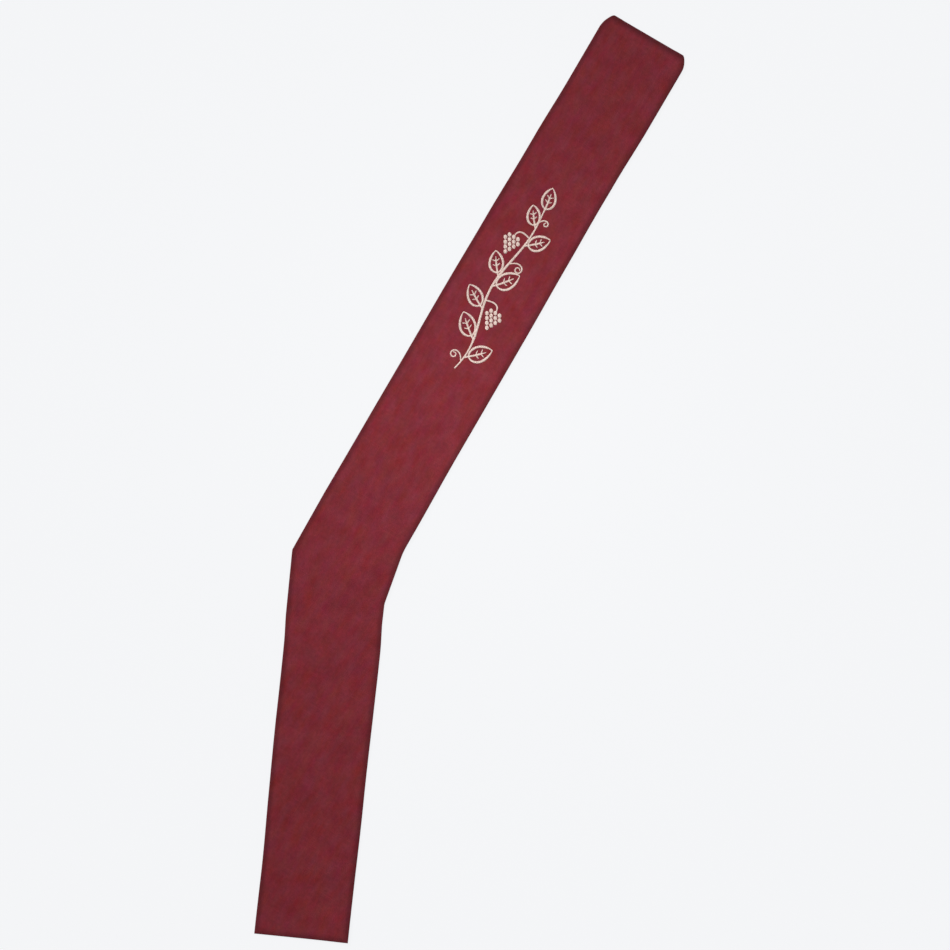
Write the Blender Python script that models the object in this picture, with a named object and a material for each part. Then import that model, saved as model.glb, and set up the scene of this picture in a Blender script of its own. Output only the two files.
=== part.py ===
"""Deacon's stole laid flat: two bands of cloth with a turn at the hip, the front one on the back one.

Metres, +Z up. The stole rests on Z = 0, with the origin under the middle of its box. The front band faces
up. +Y runs up the stole to the shoulder, and +X to the right as the front is looked at. The two bands are
joined by a seam that runs along the outside of the shoulder fold.
"""

import math
from collections import namedtuple

import bpy
from mathutils import Vector

# Lengths along the middle of the band, and the lean of its two stretches from +Y
SHOULDER_TO_HIP = 0.853
HIP_TO_HEM = 0.522
LENGTH = SHOULDER_TO_HIP + HIP_TO_HEM
DIAGONAL_LEAN = math.radians(30.3)
PENDANT_LEAN = math.radians(5.8)

# The cloth: outer cloth, interlining and turned edges together
CLOTH_THICKNESS = 0.0018
LAYER_GAP = 0.0003

# The outside of the hip turn comes to a point. Its inside turns twice: on a wide curve this far above the
# place where the straight edges would meet, and on a tighter one this far below it
UPPER_TURN_AT = 0.045
UPPER_TURN_RADIUS = 0.100
LOWER_TURN_AT = 0.033
LOWER_TURN_RADIUS = 0.030
BEND_MARGIN = 0.016

# The shoulder fold is a soft roll, measured to the middle of the cloth
FOLD_RADIUS = 0.0020
FOLD_RISE_LENGTH = 0.045

# The back band lies a little inside the front one's edges, and its hem is a little shorter
BACK_INSET = 0.0007
BACK_HEM_SHORT = 0.0020

# Fineness of the solids: rows along the stretches, and steps across a row and round its edges. BEND_STEPS
# is even, so that a row meets the outside of the turn at its point
DIAGONAL_STEPS = 36
BEND_STEPS = 20
PENDANT_STEPS = 22
FOLD_STEPS = 5
FRONT_STEPS_ACROSS = 10
BACK_STEPS_ACROSS = 2
EDGE_STEPS = 4
SMOOTH_ANGLE = math.radians(40)

# Rows at the fold's corners, and how far round the hem's edge its rows stand
CORNER_ROWS = (0.0045, 0.007, 0.010, 0.014, 0.018)
FIRST_PLAIN_ROW = 0.024
HEM_TURNS = tuple(math.radians(degrees) for degrees in (0, 35, 60, 80))

# Cut width at places along the middle, counted from the shoulder
Width = namedtuple("Width", "along width")
HIP_WIDTH = 0.1357
WIDTHS = (
    Width(along=0.000, width=0.1307),
    Width(along=0.110, width=0.1306),
    Width(along=0.235, width=0.1301),
    Width(along=0.330, width=0.1322),
    Width(along=0.450, width=0.1339),
    Width(along=0.640, width=0.1343),
    Width(along=0.785, width=0.1363),
    Width(along=SHOULDER_TO_HIP, width=HIP_WIDTH),
    Width(along=0.930, width=0.1347),
    Width(along=1.060, width=0.1342),
    Width(along=1.180, width=0.1326),
    Width(along=1.290, width=0.1307),
    Width(along=LENGTH, width=0.1310),
)

# The cloth isn't laid dead straight: how far its middle wanders to the right of the two straight lines
Drift = namedtuple("Drift", "along right")
DRIFTS = (
    Drift(along=0.000, right=+0.0006),
    Drift(along=0.110, right=+0.0005),
    Drift(along=0.200, right=-0.0011),
    Drift(along=0.300, right=-0.0016),
    Drift(along=0.620, right=-0.0009),
    Drift(along=0.770, right=+0.0000),
    Drift(along=SHOULDER_TO_HIP, right=+0.0012),
    Drift(along=0.920, right=+0.0008),
    Drift(along=0.970, right=+0.0024),
    Drift(along=1.130, right=+0.0012),
    Drift(along=1.240, right=+0.0014),
    Drift(along=LENGTH, right=+0.0002),
)

# At the fold's two corners the sides draw in towards the fold's end, by this much over this length
Corner = namedtuple("Corner", "across down")
LEFT_CORNER = Corner(across=0.0095, down=0.025)
RIGHT_CORNER = Corner(across=0.0090, down=0.021)

# Soft swells of the front band: middle, half sizes, turn of the ridge from straight across, and rise
Swell = namedtuple("Swell", "along across half_length half_breadth turn rise")
SWELLS = (
    Swell(along=0.105, across=+0.030, half_length=0.060, half_breadth=0.090, turn=18, rise=0.0011),
    Swell(along=0.205, across=-0.045, half_length=0.075, half_breadth=0.070, turn=-12, rise=0.0016),
    Swell(along=0.330, across=+0.052, half_length=0.120, half_breadth=0.050, turn=6, rise=0.0013),
    Swell(along=0.470, across=-0.058, half_length=0.110, half_breadth=0.050, turn=-5, rise=0.0018),
    Swell(along=0.560, across=+0.020, half_length=0.070, half_breadth=0.095, turn=24, rise=0.0014),
    Swell(along=0.660, across=-0.040, half_length=0.065, half_breadth=0.085, turn=-20, rise=0.0019),
    Swell(along=0.755, across=+0.050, half_length=0.075, half_breadth=0.060, turn=10, rise=0.0012),
    Swell(along=0.868, across=+0.026, half_length=0.052, half_breadth=0.078, turn=-9, rise=0.0027),
    Swell(along=0.972, across=-0.018, half_length=0.046, half_breadth=0.100, turn=7, rise=0.0018),
    Swell(along=1.070, across=+0.045, half_length=0.080, half_breadth=0.060, turn=-14, rise=0.0015),
    Swell(along=1.165, across=-0.050, half_length=0.085, half_breadth=0.055, turn=9, rise=0.0019),
    Swell(along=1.270, across=+0.030, half_length=0.060, half_breadth=0.090, turn=-16, rise=0.0012),
    Swell(along=1.366, across=+0.066, half_length=0.055, half_breadth=0.048, turn=0, rise=0.0022),
)

CLOTH_RED = (0.205, 0.024, 0.036, 1.0)
CLOTH_ROUGHNESS = 0.85

# Worked out from the sizes above
HALF = CLOTH_THICKNESS / 2
HIP_TURN = DIAGONAL_LEAN - PENDANT_LEAN
BEND_REACH = HIP_WIDTH / 2 * math.tan(HIP_TURN / 2) + UPPER_TURN_AT + BEND_MARGIN
BEND_START = SHOULDER_TO_HIP - BEND_REACH
BEND_END = SHOULDER_TO_HIP + BEND_REACH
BACK_MIDDLE = HALF
FRONT_MIDDLE = BACK_MIDDLE + CLOTH_THICKNESS + LAYER_GAP
BACK_FOLD_CENTRE = BACK_MIDDLE + FOLD_RADIUS
FRONT_FOLD_CENTRE = BACK_FOLD_CENTRE + LAYER_GAP
FOLD_REACH = FOLD_RADIUS + HALF
UP = Vector((0, 0, 1))

# One line of the cloth from edge to edge: the middle of the wall at both edges, the way its outer side
# faces, and half its thickness there
Row = namedtuple("Row", "along left right outward half")


def leaning(lean):
    """Unit vectors down a stretch of the band and to its right, for its lean from +Y."""
    return Vector((-math.sin(lean), -math.cos(lean), 0)), Vector((math.cos(lean), -math.sin(lean), 0))


def eased(table, column, along):
    """A table's column at a distance along the middle, eased between the tabled places with no kink."""
    for upper, lower in zip(table, table[1:]):
        if along <= lower.along:
            share = max((along - upper.along) / (lower.along - upper.along), 0.0)
            start, end = getattr(upper, column), getattr(lower, column)
            return start + (end - start) * share * share * (3 - 2 * share)
    return getattr(table[-1], column)


def straight_row(along):
    """Left and right edge of the cut across a straight stretch. The hip is at the origin."""
    lean = DIAGONAL_LEAN if along < SHOULDER_TO_HIP else PENDANT_LEAN
    down, right = leaning(lean)
    middle = down * (along - SHOULDER_TO_HIP) + right * eased(DRIFTS, "right", along)
    side = right * (eased(WIDTHS, "width", along) / 2)
    return middle - side, middle + side


def rounded_path(points, radii, share):
    """Point at a share of the way along straight runs, whose corners are turned on the given radii."""
    runs = [(after - here).normalized() for here, after in zip(points, points[1:])]
    turns = [into.angle(out) for into, out in zip(runs, runs[1:])]
    arcs = [radius * turn for radius, turn in zip(radii, turns)]
    tangents = [0.0, *(radius * math.tan(turn / 2) for radius, turn in zip(radii, turns)), 0.0]
    lengths = [(points[i + 1] - points[i]).length - tangents[i] - tangents[i + 1] for i in range(len(runs))]
    travel = share * (sum(lengths) + sum(arcs))
    place = points[0].copy()
    for i, run in enumerate(runs):
        place += run * min(max(travel, 0.0), lengths[i])
        travel -= lengths[i]
        if i < len(radii) and travel > 0 and radii[i] > 0:
            angle = min(travel, arcs[i]) / radii[i]
            inward = (runs[i + 1] - run * run.dot(runs[i + 1])).normalized()
            place += run * (radii[i] * math.sin(angle)) + inward * (radii[i] * (1 - math.cos(angle)))
            travel -= arcs[i]
    return place


def bend_row(along):
    """Left and right edge of the cut in the hip turn, where the rows fan out."""
    share = (along - BEND_START) / (BEND_END - BEND_START)
    right = leaning((DIAGONAL_LEAN + PENDANT_LEAN) / 2)[1]
    middle = right * eased(DRIFTS, "right", SHOULDER_TO_HIP)
    to_corner = right * (HIP_WIDTH / 2 / math.cos(HIP_TURN / 2))
    first_left, first_right = straight_row(BEND_START)
    last_left, last_right = straight_row(BEND_END)
    inner = middle + to_corner
    upper = inner + (first_right - inner).normalized() * UPPER_TURN_AT
    lower = inner + (last_right - inner).normalized() * LOWER_TURN_AT
    inner_radii = (UPPER_TURN_RADIUS, LOWER_TURN_RADIUS)
    return (
        rounded_path((first_left, middle - to_corner, last_left), (0.0,), share),
        rounded_path((first_right, upper, lower, last_right), inner_radii, share),
    )


def corner_inset(corner, from_end):
    """How far a corner has drawn the edge in, at a distance from the band's end: it grows as a square."""
    return corner.across * max(1 - from_end / corner.down, 0.0) ** 2


def cut_row(along, height, outward, half, inset, from_end):
    """A row of the cloth across the band, with the wall's middle half a thickness inside the cut."""
    in_bend = BEND_START < along < BEND_END
    left, right = bend_row(along) if in_bend else straight_row(along)
    across = (right - left).normalized()
    left = left + across * (half + inset + corner_inset(LEFT_CORNER, from_end))
    right = right - across * (half + inset + corner_inset(RIGHT_CORNER, from_end))
    return Row(along, left + UP * height, right + UP * height, outward, half)


def stations(hem):
    """Distances along the middle at which the flat stretch has a row, from the fold to near the hem."""
    spans = (
        (FIRST_PLAIN_ROW, BEND_START, DIAGONAL_STEPS),
        (BEND_START, BEND_END, BEND_STEPS),
        (BEND_END, hem - HALF, PENDANT_STEPS),
    )
    places = [start + (end - start) * i / steps for start, end, steps in spans for i in range(steps)]
    return [FOLD_REACH, *CORNER_ROWS, *places]


def fold_rise(along, fold_height, middle):
    """Height of the wall's middle near the shoulder, easing from the roll down to where it lies flat."""
    share = min(max((along - FOLD_REACH) / FOLD_RISE_LENGTH, 0.0), 1.0)
    ease = share * share * (3 - 2 * share)
    return fold_height + (middle - fold_height) * ease


def band_rows(side, middle, fold_centre, inset, hem):
    """Rows of one band, from the seam round the fold to the hem. side is +1 in front, -1 behind."""
    down = leaning(DIAGONAL_LEAN)[0]
    fold_height = fold_centre + side * FOLD_RADIUS
    rows = []
    for i in range(FOLD_STEPS):
        angle = math.pi / 2 * i / FOLD_STEPS
        along = FOLD_REACH - FOLD_RADIUS * math.cos(angle)
        outward = -down * math.cos(angle) + UP * (side * math.sin(angle))
        from_end = along - HALF * math.cos(angle)
        height = fold_centre + side * FOLD_RADIUS * math.sin(angle)
        rows.append(cut_row(along, height, outward, HALF, inset, from_end))
    for along in stations(hem):
        height = fold_rise(along, fold_height, middle)
        rows.append(cut_row(along, height, UP * side, HALF, inset, along))
    for turn in HEM_TURNS:
        along = hem - HALF + HALF * math.sin(turn)
        rows.append(cut_row(along, middle, UP * side, HALF * math.cos(turn), inset, along))
    return rows


def swell_height(along, across):
    """Rise of the front band over its flat lie: a sum of swells, each a squared cosine both ways."""
    total = 0.0
    for swell in SWELLS:
        turn = math.radians(swell.turn)
        run, reach = along - swell.along, across - swell.across
        lengthwise = (run * math.cos(turn) + reach * math.sin(turn)) / swell.half_length
        crosswise = (reach * math.cos(turn) - run * math.sin(turn)) / swell.half_breadth
        if abs(lengthwise) < 1 and abs(crosswise) < 1:
            fall = math.cos(math.pi / 2 * lengthwise) * math.cos(math.pi / 2 * crosswise)
            total += swell.rise * fall * fall
    return total


def fade_at_fold(along):
    """Swells die away towards the shoulder roll."""
    return min(max((along - FOLD_REACH) / FOLD_RISE_LENGTH, 0.0), 1.0)


def ring_of(row, steps, swelling):
    """Points round one row's wall: its outer side, right edge, inner side and left edge, in that order."""
    across = row.right - row.left
    width = across.length
    sideways = across.normalized()

    def middle(share):
        if not swelling:
            return row.left + across * share
        rise = swell_height(row.along, (share - 0.5) * width) * fade_at_fold(row.along)
        return row.left + across * share + UP * rise

    def edge(share, way):
        points = []
        for i in range(1, EDGE_STEPS):
            turn = math.pi * i / EDGE_STEPS
            offset = sideways * (way * math.sin(turn)) + row.outward * math.cos(turn)
            points.append(middle(share) + offset * row.half)
        return points if way > 0 else points[::-1]

    shares = [i / steps for i in range(steps + 1)]
    outer = [middle(share) + row.outward * row.half for share in shares]
    inner = [middle(share) - row.outward * row.half for share in reversed(shares)]
    return [*outer, *edge(1, 1), *inner, *edge(0, -1)]


def wall_faces(ring_count, steps):
    """Faces of a wall of rings with both ends closed, as lists of point numbers."""
    size = 2 * (steps + 1) + 2 * (EDGE_STEPS - 1)
    faces = []
    for ring in range(ring_count - 1):
        here, after = ring * size, (ring + 1) * size
        nexts = [(i, (i + 1) % size) for i in range(size)]
        faces += [(here + i, after + i, after + j, here + j) for i, j in nexts]
    edge_points = EDGE_STEPS - 1
    inner_start = steps + 1 + edge_points
    for start, flip in ((0, False), ((ring_count - 1) * size, True)):
        cap = [(i, i + 1, inner_start + steps - 1 - i, inner_start + steps - i) for i in range(steps)]
        cap.append(tuple(range(steps, inner_start + 1)))
        cap.append((0, *range(inner_start + steps, size)))
        faces += [tuple(start + i for i in (face[::-1] if flip else face)) for face in cap]
    return faces


def cloth_material(name):
    """Matt wine-red cloth."""
    material = bpy.data.materials.new(name)
    material.use_nodes = True
    shader = material.node_tree.nodes["Principled BSDF"]
    shader.inputs["Base Color"].default_value = CLOTH_RED
    shader.inputs["Roughness"].default_value = CLOTH_ROUGHNESS
    shader.inputs["Metallic"].default_value = 0.0
    return material


def box_middle(rows):
    """Middle in plan of the box round the band's cut."""
    points = []
    for row in rows:
        sideways = (row.right - row.left).normalized() * row.half
        points += [row.left - sideways, row.right + sideways]
        points += [end + row.outward * row.half for end in (row.left, row.right)]
    spans = [(min(p[axis] for p in points), max(p[axis] for p in points)) for axis in (0, 1)]
    return Vector([(low + high) / 2 for low, high in spans] + [0])


def add_band(name, rows, steps, swelling, origin):
    """One band as a closed solid, moved so that the given point of its mesh is at the origin."""
    points = [point for row in rows for point in ring_of(row, steps, swelling)]
    faces = wall_faces(len(rows), steps)
    if rows[1].outward.z < 0:
        faces = [face[::-1] for face in faces]
    mesh = bpy.data.meshes.new(name)
    mesh.from_pydata(points, [], faces)
    mesh.materials.append(cloth_material(f"{name}_cloth"))
    mesh.shade_smooth()
    mesh.set_sharp_from_angle(angle=SMOOTH_ANGLE)
    mesh.validate()
    band = bpy.data.objects.new(name, mesh)
    band.location = -origin
    bpy.context.scene.collection.objects.link(band)


def main():
    """Clears the scene and builds the front band and the back band."""
    for thing in list(bpy.data.objects):
        bpy.data.objects.remove(thing)
    front = band_rows(1, FRONT_MIDDLE, FRONT_FOLD_CENTRE, 0.0, LENGTH)
    back = band_rows(-1, BACK_MIDDLE, BACK_FOLD_CENTRE, BACK_INSET, LENGTH - BACK_HEM_SHORT)
    origin = box_middle(front)
    add_band("front_band", front, FRONT_STEPS_ACROSS, True, origin)
    add_band("back_band", back, BACK_STEPS_ACROSS, False, origin)


main()
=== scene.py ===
"""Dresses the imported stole: two bands of woven wool cloth, and a spray of vine embroidered on the front one.

The bands follow the solids' own cut, which StoleCut works out again from the same sizes. Places on the cloth
are given in metres as (along, across): along the middle of the band from the shoulder, and across it to the
right as the front is looked at.
"""

import logging
from dataclasses import dataclass
from enum import Enum

import bpy
import numpy as np
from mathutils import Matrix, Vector


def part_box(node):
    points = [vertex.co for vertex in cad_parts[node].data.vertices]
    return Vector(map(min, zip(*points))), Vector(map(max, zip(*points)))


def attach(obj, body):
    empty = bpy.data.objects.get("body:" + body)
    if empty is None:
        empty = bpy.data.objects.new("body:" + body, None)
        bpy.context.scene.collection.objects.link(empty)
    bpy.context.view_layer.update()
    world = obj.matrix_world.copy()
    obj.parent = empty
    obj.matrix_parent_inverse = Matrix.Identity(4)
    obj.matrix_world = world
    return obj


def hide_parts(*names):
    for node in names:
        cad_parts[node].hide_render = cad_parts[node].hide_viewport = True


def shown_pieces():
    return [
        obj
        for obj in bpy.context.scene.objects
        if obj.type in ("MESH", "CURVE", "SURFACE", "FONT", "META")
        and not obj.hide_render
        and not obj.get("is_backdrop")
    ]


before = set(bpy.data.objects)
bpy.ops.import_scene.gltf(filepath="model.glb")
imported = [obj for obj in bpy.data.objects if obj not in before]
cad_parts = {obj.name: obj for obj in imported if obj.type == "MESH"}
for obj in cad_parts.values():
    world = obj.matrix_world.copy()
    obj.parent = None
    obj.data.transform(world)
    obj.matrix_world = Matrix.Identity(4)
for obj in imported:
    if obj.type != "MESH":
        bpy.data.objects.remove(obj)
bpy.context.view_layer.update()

LOG = logging.getLogger("stole")
MM = 0.001
SEED = 20


class Side(Enum):
    """Which band: its sign is the way that its outer face looks along Z."""

    FRONT = 1
    BACK = -1


class Hand(Enum):
    """The side of the stem that a sprig grows on, as a sign across the band."""

    LEFT = -1
    RIGHT = 1


def linear(hex_colour: str) -> tuple[float, float, float, float]:
    """Turns an sRGB hex colour into linear light.

    Args:
        hex_colour: six hex digits, such as "7a2c33".

    Returns:
        Red, green, blue and an alpha of one.
    """
    values = np.array([int(hex_colour[i:i + 2], 16) for i in (0, 2, 4)]) / 255
    light = np.where(values <= 0.04045, values / 12.92, ((values + 0.055) / 1.055) ** 2.4)
    return (*map(float, light), 1.0)


def unit(vectors: np.ndarray) -> np.ndarray:
    """Vectors along the last axis, each divided by its length."""
    return vectors / np.linalg.norm(vectors, axis=-1, keepdims=True)


def ease(share: np.ndarray) -> np.ndarray:
    """Rises from 0 to 1 with level ends: three squares less two cubes of the share, held to 0 and 1."""
    held = np.clip(share, 0.0, 1.0)
    return held * held * (3 - 2 * held)


def eased_table(table: tuple[tuple[float, float], ...], along: np.ndarray) -> np.ndarray:
    """Value of a short table of (along, value), eased between its places.

    Args:
        table: the tabled places in order, each with its value.
        along: where the value is wanted.

    Returns:
        The tabled value at each place, by the ease curve between neighbours.
    """
    places, values = np.array(table).T
    index = np.clip(np.searchsorted(places, along) - 1, 0, len(places) - 2)
    share = ease((along - places[index]) / (places[index + 1] - places[index]))
    return values[index] + (values[index + 1] - values[index]) * share


def ripples(along: np.ndarray, across: np.ndarray, pitch: float, seed: int) -> np.ndarray:
    """Smooth unevenness, about -1 to 1: the mean of 24 sine waves in random directions near one pitch.

    Args:
        along: first coordinate of each place.
        across: second coordinate of each place.
        pitch: mean wavelength.
        seed: picks the directions, wavelengths and phases.

    Returns:
        The height at each place.
    """
    count = 24
    highest = 1.6 * count ** 0.5
    rng = np.random.default_rng(seed)
    turns, phases = rng.uniform(0, 2 * np.pi, (2, count))
    waves = 2 * np.pi / (pitch * rng.uniform(0.7, 1.5, count))
    total = np.zeros(np.broadcast(along, across).shape)
    for turn, phase, wave in zip(turns, phases, waves):
        total += np.sin(wave * (along * np.cos(turn) + across * np.sin(turn)) + phase)
    return total / highest


def add_mesh(name: str, points: np.ndarray, faces: list[np.ndarray]) -> bpy.types.Object:
    """Makes a closed, smooth-shaded mesh whose faces point outwards.

    The sign of the volume under its faces, the sum of each corner triangle's triple product, says which way
    they point, and they are all turned round if it is negative.

    Args:
        name: the object's name.
        points: every point, (n, 3).
        faces: arrays of point numbers, (m, corners) each.

    Returns:
        The new object, linked to the scene.
    """
    fans = [np.stack([f[:, 0], f[:, i], f[:, i + 1]], 1) for f in faces for i in range(1, f.shape[1] - 1)]
    a, b, c = (points[np.concatenate(fans)[:, i]] for i in range(3))
    if np.einsum("ij,ij->", a, np.cross(b, c)) < 0:
        faces = [f[:, ::-1] for f in faces]
    mesh = bpy.data.meshes.new(name)
    mesh.from_pydata(points.tolist(), [], [row for f in faces for row in f.tolist()])
    mesh.shade_smooth()
    mesh.validate()
    thing = bpy.data.objects.new(name, mesh)
    bpy.context.scene.collection.objects.link(thing)
    return thing


def set_attribute(thing: bpy.types.Object, name: str, values: np.ndarray) -> None:
    """Gives a mesh one number a point, for its material to read."""
    attribute = thing.data.attributes.new(name, "FLOAT", "POINT")
    attribute.data.foreach_set("value", values.astype(np.float32).ravel())


def ring_faces(rows: int, size: int) -> np.ndarray:
    """Quads between neighbouring closed rings of points.

    Args:
        rows: how many rings there are.
        size: how many points each ring has.

    Returns:
        The quads, (m, 4).
    """
    numbers = np.arange(rows * size).reshape(rows, size)
    here, after = numbers[:-1], numbers[1:]
    corners = [here, after, np.roll(after, -1, 1), np.roll(here, -1, 1)]
    return np.stack(corners, -1).reshape(-1, 4)


@dataclass(frozen=True)
class Swell:
    """A long low swell of the cloth: its middle, half sizes along and across, turn in degrees, and rise."""

    along: float
    across: float
    half_length: float
    half_breadth: float
    turn: float
    rise: float

    def height(self, along: np.ndarray, across: np.ndarray) -> np.ndarray:
        """A squared cosine both ways from the swell's middle, and nothing past its half sizes.

        Args:
            along: places along the middle.
            across: places across the band.

        Returns:
            The rise at each place.
        """
        turn = np.radians(self.turn)
        run, reach = along - self.along, across - self.across
        lengthwise = np.clip((run * np.cos(turn) + reach * np.sin(turn)) / self.half_length, -1, 1)
        crosswise = np.clip((reach * np.cos(turn) - run * np.sin(turn)) / self.half_breadth, -1, 1)
        return self.rise * (np.cos(np.pi / 2 * lengthwise) * np.cos(np.pi / 2 * crosswise)) ** 2


@dataclass(frozen=True)
class Crease:
    """A soft trough, or a ridge where its rise is positive, that runs mostly across the band.

    Its bow is a share of its breadth, and its ends fade faster as end_fade grows.
    """

    along: float
    across: float
    length: float
    breadth: float
    turn: float
    rise: float
    bow: float = 0.9
    end_fade: float = 1.4

    def height(self, along: np.ndarray, across: np.ndarray) -> np.ndarray:
        """A bell curve over its breadth, that bows a little and fades to both ends of its length.

        Args:
            along: places along the middle.
            across: places across the band.

        Returns:
            The rise at each place, below zero in a trough.
        """
        turn = np.radians(self.turn)
        run, reach = along - self.along, across - self.across
        lengthwise = (reach * np.cos(turn) + run * np.sin(turn)) / self.length
        bowed = self.bow * self.breadth * lengthwise ** 2
        crosswise = (run * np.cos(turn) - reach * np.sin(turn) - bowed) / self.breadth
        return self.rise * np.exp(-crosswise ** 2) * np.exp(-(self.end_fade * lengthwise) ** 4)


@dataclass(frozen=True)
class StoleCut:
    """The cut of both bands and how they lie, in the sizes of the solids."""

    shoulder_to_hip: float = 0.853
    hip_to_hem: float = 0.522
    diagonal_lean: float = float(np.radians(30.3))
    pendant_lean: float = float(np.radians(5.8))
    hip_width: float = 0.1357
    upper_turn_at: float = 0.045
    lower_turn_at: float = 0.033
    inner_turn_radii: tuple[float, float] = (0.100, 0.030)
    outer_turn_radius: float = 0.003
    bend_margin: float = 0.016
    widths: tuple[tuple[float, float], ...] = (
        (0.0, 0.1307), (0.110, 0.1306), (0.235, 0.1301), (0.330, 0.1322), (0.450, 0.1339), (0.640, 0.1343),
        (0.785, 0.1363), (0.853, 0.1357), (0.930, 0.1347), (1.060, 0.1342), (1.180, 0.1326), (1.290, 0.1307),
        (1.375, 0.1310),
    )
    drifts: tuple[tuple[float, float], ...] = (
        (0.0, 0.0006), (0.110, 0.0005), (0.200, -0.0011), (0.300, -0.0016), (0.620, -0.0009), (0.770, 0.0),
        (0.853, 0.0012), (0.920, 0.0008), (0.970, 0.0024), (1.130, 0.0012), (1.240, 0.0014), (1.375, 0.0002),
    )
    left_corner: tuple[float, float] = (0.0095, 0.025)
    right_corner: tuple[float, float] = (0.0090, 0.021)
    outline_points: int = 4000
    swells: tuple[Swell, ...] = (
        Swell(0.105, +0.030, 0.060, 0.090, 18, 0.0011),
        Swell(0.205, -0.045, 0.075, 0.070, -12, 0.0016),
        Swell(0.330, +0.052, 0.120, 0.050, 6, 0.0013),
        Swell(0.470, -0.058, 0.110, 0.050, -5, 0.0018),
        Swell(0.560, +0.020, 0.070, 0.095, 24, 0.0014),
        Swell(0.660, -0.040, 0.065, 0.085, -20, 0.0019),
        Swell(0.755, +0.050, 0.075, 0.060, 10, 0.0012),
        Swell(0.868, +0.026, 0.052, 0.078, -9, 0.0027),
        Swell(0.972, -0.018, 0.046, 0.100, 7, 0.0018),
        Swell(1.070, +0.045, 0.080, 0.060, -14, 0.0015),
        Swell(1.165, -0.050, 0.085, 0.055, 9, 0.0019),
        Swell(1.270, +0.030, 0.060, 0.090, -16, 0.0012),
        Swell(1.366, +0.066, 0.055, 0.048, 0, 0.0022),
    )

    @property
    def length(self) -> float:
        """Length along the middle from shoulder to hem."""
        return self.shoulder_to_hip + self.hip_to_hem

    @property
    def bend_reach(self) -> float:
        """How far the hip turn's fanned rows reach each way from the hip."""
        turn = (self.diagonal_lean - self.pendant_lean) / 2
        return self.hip_width / 2 * np.tan(turn) + self.upper_turn_at + self.bend_margin

    @property
    def widest(self) -> float:
        """The cut's greatest width."""
        return max(width for _, width in self.widths)

    def straight_edges(self, along: np.ndarray) -> tuple[np.ndarray, np.ndarray]:
        """Left and right edge across a straight stretch: its middle, and half the width to each side.

        Args:
            along: places along the middle.

        Returns:
            The edges in plan, (n, 2) each, with the hip at the origin.
        """
        lean = np.where(along < self.shoulder_to_hip, self.diagonal_lean, self.pendant_lean)
        down = np.stack([-np.sin(lean), -np.cos(lean)], -1)
        right = np.stack([np.cos(lean), -np.sin(lean)], -1)
        wander = eased_table(self.drifts, along)[:, None]
        middle = down * (along - self.shoulder_to_hip)[:, None] + right * wander
        side = right * (eased_table(self.widths, along) / 2)[:, None]
        return middle - side, middle + side

    @staticmethod
    def rounded_path(points: np.ndarray, radii: tuple[float, ...], share: np.ndarray) -> np.ndarray:
        """Places on straight runs whose corners are turned on arcs: each run and each arc in turn.

        Args:
            points: the two ends of the line and the corners between them, (n, 2).
            radii: the radius at each corner.
            share: how far along the whole line each place is, 0 to 1.

        Returns:
            The places, (m, 2).
        """
        steps = np.diff(points, axis=0)
        runs = unit(steps)
        turns = np.arccos(np.sum(runs[:-1] * runs[1:], axis=1))
        arcs = np.array(radii) * turns
        tangents = np.concatenate([[0], np.array(radii) * np.tan(turns / 2), [0]])
        lengths = np.linalg.norm(steps, axis=1) - tangents[:-1] - tangents[1:]
        travel = (share * (lengths.sum() + arcs.sum()))[:, None]
        places = points[0] + runs[0] * np.clip(travel, 0, lengths[0])
        travel = travel - lengths[0]
        for i, radius in enumerate(radii):
            angle = np.clip(travel / radius, 0, turns[i])
            inward = unit(runs[i + 1] - runs[i] * (runs[i] @ runs[i + 1]))
            places += runs[i] * (radius * np.sin(angle)) + inward * (radius * (1 - np.cos(angle)))
            travel = travel - arcs[i]
            places += runs[i + 1] * np.clip(travel, 0, lengths[i + 1])
            travel = travel - lengths[i + 1]
        return places

    def edges(self, along: np.ndarray) -> tuple[np.ndarray, np.ndarray]:
        """Left and right edge of the cut at each place along, fanned out in the hip turn.

        Args:
            along: places along the middle.

        Returns:
            The edges in plan, (n, 2) each, with the hip at the origin.
        """
        left, right = self.straight_edges(along)
        ends = self.shoulder_to_hip + self.bend_reach * np.array([-1.0, 1.0])
        bent = (along > ends[0]) & (along < ends[1])
        share = (along[bent] - ends[0]) / (ends[1] - ends[0])
        lean, turn = self.diagonal_lean + self.pendant_lean, self.diagonal_lean - self.pendant_lean
        to_right = np.array([np.cos(lean / 2), -np.sin(lean / 2)])
        middle = to_right * eased_table(self.drifts, np.array([self.shoulder_to_hip]))
        to_corner = to_right * (self.hip_width / 2 / np.cos(turn / 2))
        end_left, end_right = self.straight_edges(ends)
        inner = middle + to_corner
        upper = inner + unit(end_right[0] - inner) * self.upper_turn_at
        lower = inner + unit(end_right[1] - inner) * self.lower_turn_at
        outer_line = np.array([end_left[0], middle - to_corner, end_left[1]])
        inner_line = np.array([end_right[0], upper, lower, end_right[1]])
        left[bent] = self.rounded_path(outer_line, (self.outer_turn_radius,), share)
        right[bent] = self.rounded_path(inner_line, self.inner_turn_radii, share)
        return left, right

    def corner_insets(self, from_end: np.ndarray) -> tuple[np.ndarray, np.ndarray]:
        """How far the edges draw in towards the fold's two corners.

        It grows as a square over each corner's length, towards the outside of the fold.

        Args:
            from_end: distance from the outside of the fold.

        Returns:
            The inset of the left edge and of the right edge.
        """
        corners = (self.left_corner, self.right_corner)
        left, right = (across * np.clip(1 - from_end / down, 0, 1) ** 2 for across, down in corners)
        return left, right

    def swell_height(self, along: np.ndarray, across: np.ndarray) -> np.ndarray:
        """Rise of the front band over its flat lie: the sum of its swells."""
        return sum(swell.height(along, across) for swell in self.swells)

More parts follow.
